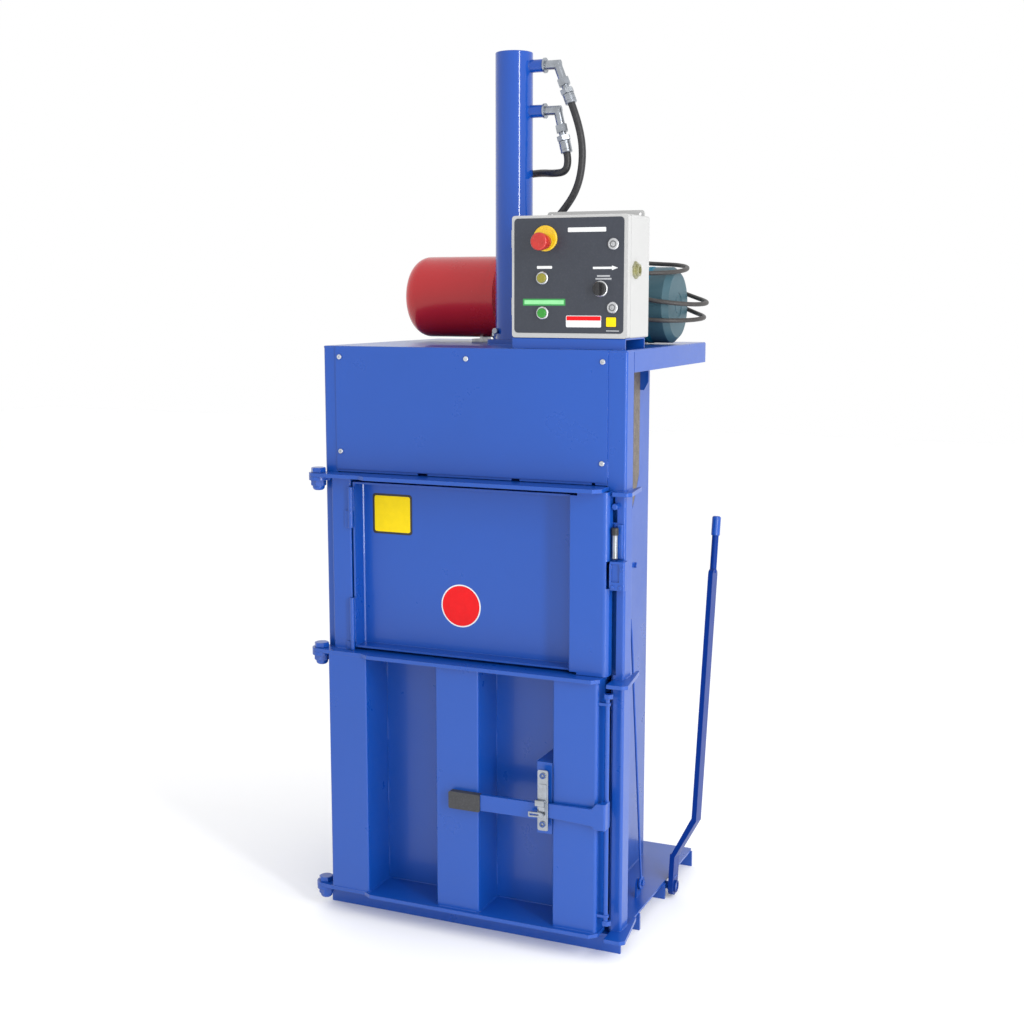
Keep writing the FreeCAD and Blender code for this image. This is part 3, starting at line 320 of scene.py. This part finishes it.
CYL_Y = 308.5
ROUTE_A = [(166, CYL_Y, 2215), (190, CYL_Y, 2155), (201, CYL_Y, 2075), (186, CYL_Y, 1992), (140, CYL_Y, 1929), (86, 322, 1886), (46, 372, 1856), (36, 436, 1846), (34, 476, 1832), (34, 476, 1776)]
ROUTE_B = [(153.5, CYL_Y, 2087), (158.5, CYL_Y, 2066), (150, CYL_Y, 2037), (110, 320, 2035), (62, 356, 2041), (2, 390, 2040), (-44, 412, 1995), (-62, 440, 1910), (-62, 474, 1845), (-62, 476, 1776)]
CABLE = [(188, 226.3, 1800), (188, 290, 1801), (188, 370, 1803), (189, 440, 1806), (192, 500, 1807), (208, 564, 1805),
         (252, 611, 1802), (313, 628, 1798), (374, 611, 1795), (418, 564, 1788), (434, 500, 1779), (419, 436, 1772), (377, 389, 1769), (317, 372, 1768), (263, 389, 1778), (221, 436, 1796),
         (206, 500, 1807), (225, 564, 1798), (278, 611, 1770), (350, 628, 1730), (421, 611, 1706), (474, 564, 1693), (493, 500, 1687), (474, 436, 1685), (421, 389, 1690), (350, 372, 1700), (287, 388, 1730), (241, 436, 1786),
         (224, 500, 1807), (241, 564, 1790), (289, 611, 1735), (355, 628, 1690), (420, 611, 1664), (468, 564, 1652), (485, 500, 1647), (468, 436, 1643), (420, 389, 1642), (355, 372, 1645), (300, 375, 1648), (245, 378, 1650), (193.5, 378, 1650)]
hose_a = cord_curve("upper_hose", ROUTE_A, 10.0, "hose_upper", MATS["hose_rubber"])
hose_b = cord_curve("lower_hose", ROUTE_B, 10.0, "hose_lower", MATS["hose_rubber"])
cable = cord_curve("coiled_cable", CABLE, 6.0, "motor_cable", MATS["cable_jacket"])


# ------------------------------------------------------------------ prints
def rr(x0, x1, z0, z1, r, n=7):
    out = []
    for cx, cz, a in ((x1 - r, z1 - r, 0), (x0 + r, z1 - r, 90), (x0 + r, z0 + r, 180), (x1 - r, z0 + r, 270)):
        for i in range(n):
            t = math.radians(a + 90.0 * i / (n - 1))
            out.append((cx + r * math.cos(t), cz + r * math.sin(t)))
    return out


def disc(cx, cz, r, n=96):
    return [(cx + r * math.cos(2 * math.pi * i / n), cz + r * math.sin(2 * math.pi * i / n)) for i in range(n)]


def film(name, outline, y, mat, body, t=0.22, hole=None):
    # a thin printed film standing t mm proud of the face at y
    bm = bmesh.new()
    f = [bm.verts.new(M(x, y - t, z)) for x, z in outline]
    b = [bm.verts.new(M(x, y, z)) for x, z in outline]
    k = len(outline)
    if hole:
        hf = [bm.verts.new(M(x, y - t, z)) for x, z in hole]
        hb = [bm.verts.new(M(x, y, z)) for x, z in hole]
        for i in range(k):
            j = (i + 1) % k
            bm.faces.new((f[i], f[j], hf[j], hf[i]))
            bm.faces.new((hf[i], hf[j], hb[j], hb[i]))
    else:
        bm.faces.new(f)
    for i in range(k):
        j = (i + 1) % k
        bm.faces.new((f[i], b[i], b[j], f[j]))
    bmesh.ops.recalc_face_normals(bm, faces=bm.faces)
    me = mesh_of(bm, name)
    return link(name, me, mat, body)


YO = 17.0
film("print_top_bar", rr(272, 373, 1865.5, 1876.5, 2), YO, PRINT["white"], "lid")
film("print_button_bar", rr(189, 230, 1776, 1783, 1.5), YO, PRINT["white"], "lid")
film("print_arrow", [(339, 1774.5), (389, 1774.5), (389, 1771.5), (405, 1777.2), (389, 1783), (389, 1780), (339, 1780)], YO, PRINT["white"], "lid")
film("print_line_a", rr(350, 384, 1755.5, 1759.5, 1), YO, PRINT["grey"], "lid")
film("print_line_b", rr(346, 388, 1748.5, 1752.5, 1), YO, PRINT["grey"], "lid")
film("print_green_edge", rr(151, 266, 1684.5, 1701.5, 2), YO, PRINT["dark_green"], "lid", t=0.12)
film("print_green_bar", rr(155, 262, 1688, 1698, 1), YO, PRINT["green"], "lid")
film("print_field_white", rr(268, 362, 1631, 1660, 3), YO, PRINT["white"], "lid", t=0.12)
film("print_field_red", rr(269.5, 360.5, 1648, 1658.5, 1.5), YO, PRINT["red"], "lid")
film("print_square_edge", rr(373, 403, 1631, 1658, 3), YO, PRINT["black"], "lid", t=0.12)
film("print_square", rr(375, 401, 1633, 1656, 2), YO, PRINT["yellow"], "lid")
film("print_thin_line", rr(375, 409, 1621.5, 1624, 1), YO, PRINT["grey"], "lid")
for k, (x, z) in enumerate(((393, 1835), (392, 1680))):
    film("print_lock_ring_%d" % k, disc(x, z, 8.3), YO - 5.0, PRINT["steel_dark"], "lid", t=0.15, hole=disc(x, z, 5.4))
for k, z in enumerate((488.5, 358.5)):
    film("catch_screw_face_%d" % k, disc(249, z, 8.1), -83.0, PRINT["screw_blue"], "latch", t=0.25, hole=disc(249, z, 3.4))
DX, DZ = -235.5, 1125.0
film("door_patch_edge", rr(DX - 60, DX + 60, DZ - 55, DZ + 55, 9), 25.0, PRINT["black"], "feed_door", t=0.25)
film("door_patch", rr(DX - 54, DX + 54, DZ - 49, DZ + 49, 6), 25.0, PRINT["yellow"], "feed_door", t=0.4)
film("door_disc_edge", disc(-31.6, 889.2, 58), 25.0, PRINT["white"], "feed_door", t=0.25)
film("door_disc", disc(-31.6, 889.2, 54.5), 25.0, PRINT["red"], "feed_door", t=0.4)


# ------------------------------------------------------------- weld beads
def bead(bm, p, q, r, rnd, up=None):
    # a rippled run of weld from p to q (mm), as rings of overlapping scales
    p, q = M(*p), M(*q)
    d = q - p
    L = d.length
    d.normalize()
    a = d.orthogonal().normalized()
    b = d.cross(a)
    step = 0.0011
    n = max(4, int(L / step))
    rings = []
    for i in range(n + 1):
        s = L * i / n
        ph = (s * 1000.0 / 4.2) % 1.0
        k = (r / 1000.0) * (0.80 + 0.26 * (ph ** 0.6) + rnd.uniform(-0.03, 0.03))
        if i in (0, n):
            k *= 0.35
        rings.append([bm.verts.new(p + d * s + (a * math.cos(t) + b * math.sin(t)) * k) for t in [2 * math.pi * j / 8 for j in range(8)]])
    for i in range(n):
        for j in range(8):
            bm.faces.new((rings[i][j], rings[i + 1][j], rings[i + 1][(j + 1) % 8], rings[i][(j + 1) % 8]))
    bm.faces.new(list(reversed(rings[0])))
    bm.faces.new(rings[-1])


def welds(name, runs, body, r=2.6, seed=1):
    rnd = random.Random(seed)
    bm = bmesh.new()
    for p, q in runs:
        bead(bm, p, q, r, rnd)
    bmesh.ops.recalc_face_normals(bm, faces=bm.faces)
    link(name, mesh_of(bm, name, smooth=True), MATS["blue_paint"], body)


BAND_Z = (66.0, 742.0, 1226.0)
fr = []
for z in BAND_Z:
    lo, hi = z - 10.5, z - 0.5
    fr.append(((-419, 0, lo), (-398, 0, lo)))
    fr.append(((-427, 10, lo), (-427, 58, lo)))
    fr.append(((412, 0, lo), (431, 0, lo)))
    fr.append(((438, 10, lo), (438, 52, lo)))
    fr.append(((438, 10, hi), (438, 52, hi)))
fr += [((-389, 0.5, 52), (-419, 0.5, 52)), ((411, 0.5, 52), (430, 0.5, 52)), ((402, 58, 52), (402, 92, 52)), ((312, 95, 52), (398, 95, 52)), ((-312, 95, 52), (-422, 95, 52))]
fr += [((310, 100, 52), (310, 566, 52)), ((-310, 100, 52), (-310, 566, 52)), ((-300, 567, 52), (300, 567, 52)), ((-52, CYL_Y - 58, 1576), (52, CYL_Y - 58, 1576)), ((58, CYL_Y - 50, 1576), (58, CYL_Y + 50, 1576)), ((-58, CYL_Y - 50, 1576), (-58, CYL_Y, 1576))]
fr += [((124, 20, 1576), (152, 20, 1576)), ((250, 20, 1576), (290, 20, 1576)), ((392, 20, 1576), (421, 20, 1576)), ((124, 170, 1576), (421, 170, 1576))]
fr += [((310, 95, 120), (310, 95, 220)), ((310, 95, 420), (310, 95, 520)), ((310, 95, 720), (310, 95, 820)), ((310, 95, 1020), (310, 95, 1055))]
fr += [((-310, 95, 120), (-310, 95, 1500)), ((389, 0, 1256), (389, 0, 1300)), ((392, 5, 1300), (392, 5, 1340))]
for y in (15, 173, 398):
    for s in (-1, 1):
        fr.append(((s * 424, y, 46), (s * 330, y, 46)))
welds("frame_welds", fr, "frame", seed=3)
dr = []
for x0, x1 in ((-388, -284), (-61, 50), (275, 383)):
    dr.append(((x0, -60, 76), (x1, -60, 76)))
for x0, x1 in ((-262, -72), (62, 264)):
    dr.append(((x0, 59, 76), (x1, 59, 76)))
for x in (-277, -68, 57, 268):
    dr.append(((x, -54, 76), (x, 56, 76)))
    for z0, z1 in ((110, 170), (300, 360), (480, 540), (660, 720)):
        if x == 268 and 250 < z0 < 500:
            continue
        dr.append(((x, 60, z0), (x, 60, z1)))
dr += [((222, 60, 330), (222, 60, 510))]
dr += [((-387, -24, 752), (-342, -24, 752)), ((-387, -24, 1226), (-342, -24, 1226))]
welds("main_door_welds", dr, "main_door", r=2.2, seed=5)
fd = [((409, -33, 985), (409, -33, 1046))]
welds("feed_door_welds", fd, "feed_door", r=1.6, seed=7)
welds("latch_welds", [((406, -51, 110), (416, -51, 110)), ((406, -51, 702), (416, -51, 702))], "latch", r=1.8, seed=9)
welds("eject_welds", [((455, 408, 60), (455, 436, 60))], "eject", r=2.0, seed=11)

# --------------------------------------------------------- floor and light
fl = bpy.data.meshes.new("floor")
fl.from_pydata([(-14, -14, 0), (14, -14, 0), (14, 14, 0), (-14, 14, 0)], [], [(0, 1, 2, 3)])
floor = bpy.data.objects.new("floor", fl)
scene.collection.objects.link(floor)
floor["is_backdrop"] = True
n = Nodes("floor_pale")
c = n.mix(n.span(n.noise(0.6, 3.0), 0.0, 1.0, 0.3, 0.7), (0.93, 0.93, 0.93), (0.96, 0.96, 0.96))
n.set(Base_Color=c)
n.b.inputs["Roughness"].default_value = 0.75
n.b.inputs["Emission Color"].default_value = (1.0, 1.0, 1.0, 1.0)
n.b.inputs["Emission Strength"].default_value = 0.06
fl.materials.append(n.m)

w = bpy.data.worlds.new("studio")
scene.world = w
w.use_nodes = True
w.node_tree.nodes["Background"].inputs["Color"].default_value = (1.0, 1.0, 1.0, 1.0)
w.node_tree.nodes["Background"].inputs["Strength"].default_value = 1.0


def area(name, at, to, size, power, color=(1, 1, 1)):
    d = bpy.data.lights.new(name, "AREA")
    d.shape = "RECTANGLE"
    d.size, d.size_y = size
    d.energy = power
    d.color = color
    o = bpy.data.objects.new(name, d)
    scene.collection.objects.link(o)
    o.location = Vector(at)
    o.rotation_mode = "QUATERNION"
    o.rotation_quaternion = (Vector(to) - Vector(at)).to_track_quat("-Z", "Y")
    return o


area("key_strip", (3.25, -2.30, 2.0), (0.0, 0.0, 1.3), (0.40, 3.6), 88)
for o in (area("key_right", (4.4, -0.6, 2.8), (0.0, 0.0, 1.1), (2.4, 3.0), 80),
          area("front_fill", (1.6, -4.1, 1.5), (0.0, 0.0, 0.8), (2.8, 2.2), 24)):
    o.visible_glossy = False
scene.view_settings.view_transform = "Standard"
scene.view_settings.look = "None"
scene.view_settings.exposure = 0.0

lo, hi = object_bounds()
